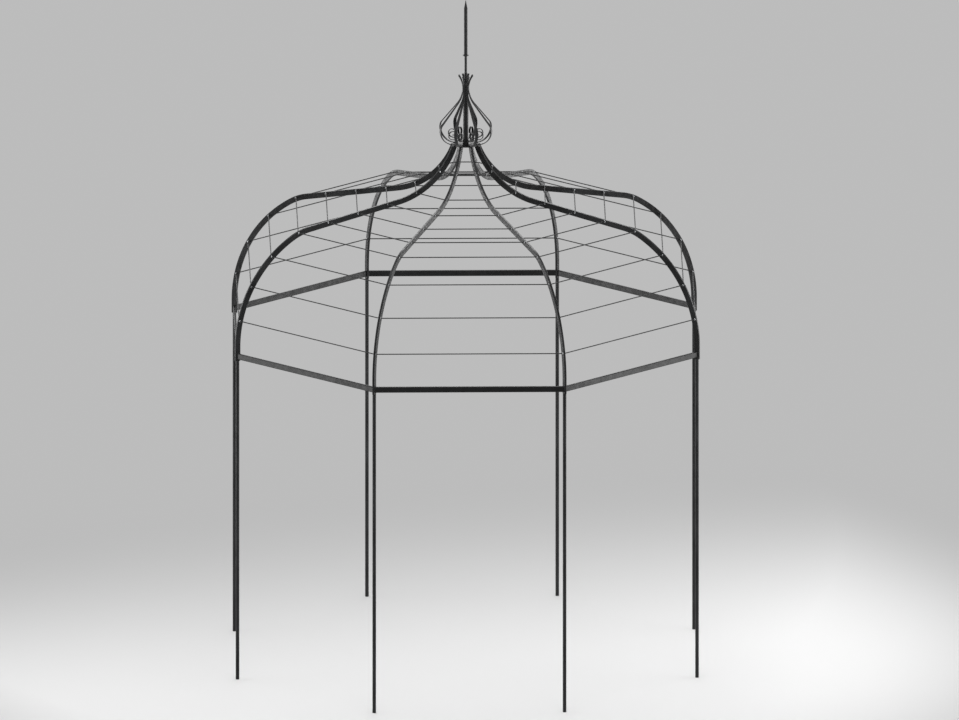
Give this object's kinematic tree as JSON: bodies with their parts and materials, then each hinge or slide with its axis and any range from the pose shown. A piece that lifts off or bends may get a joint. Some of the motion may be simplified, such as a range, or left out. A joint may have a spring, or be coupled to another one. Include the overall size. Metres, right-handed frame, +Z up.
{
  "type": "octagonal garden pavilion",
  "caption": "open octagonal garden pavilion in wrought iron, with slender round posts, a ring beam, ogee ribs tied by wire rings, an onion crown with scrolls and a spear finial",
  "frame": {"origin": "on the ground at the centre of the octagon", "axes": "+Z up along the axis of the pavilion, flat sides of the octagon face +X, -X, +Y and -Y"},
  "size_m": [3.0888, 3.0888, 4.4867],
  "materials": {
    "wrought_iron": "satin anthracite paint over forged iron",
    "iron_wire": "satin anthracite paint on drawn wire",
    "crown_iron": "satin anthracite paint over forged iron"
  },
  "bodies": {
    "root": {"post_1": "wrought_iron", "post_2": "wrought_iron", "post_3": "wrought_iron", "post_4": "wrought_iron", "post_5": "wrought_iron", "post_6": "wrought_iron", "post_7": "wrought_iron", "post_8": "wrought_iron", "ring_beam_1": "wrought_iron", "ring_beam_2": "wrought_iron", "ring_beam_3": "wrought_iron", "ring_beam_4": "wrought_iron", "ring_beam_5": "wrought_iron", "ring_beam_6": "wrought_iron", "ring_beam_7": "wrought_iron", "ring_beam_8": "wrought_iron", "rib_1": "wrought_iron", "rib_2": "wrought_iron", "rib_3": "wrought_iron", "rib_4": "wrought_iron", "rib_5": "wrought_iron", "rib_6": "wrought_iron", "rib_7": "wrought_iron", "rib_8": "wrought_iron", "wire_ring_1": "iron_wire", "wire_ring_2": "iron_wire", "wire_ring_3": "iron_wire", "wire_ring_4": "iron_wire", "wire_ring_5": "iron_wire", "wire_ring_6": "iron_wire", "wire_ring_7": "iron_wire", "wire_ring_8": "iron_wire", "wire_ring_9": "iron_wire", "hub_plate": "wrought_iron", "crown_post": "wrought_iron", "crown_strip_1": "crown_iron", "crown_strip_2": "crown_iron", "crown_strip_3": "crown_iron", "crown_strip_4": "crown_iron", "crown_strip_5": "crown_iron", "crown_strip_6": "crown_iron", "crown_strip_7": "crown_iron", "crown_strip_8": "crown_iron", "crown_scrolls": "crown_iron", "finial_rod": "crown_iron", "finial_spear": "crown_iron"}
  },
  "joints": []
}
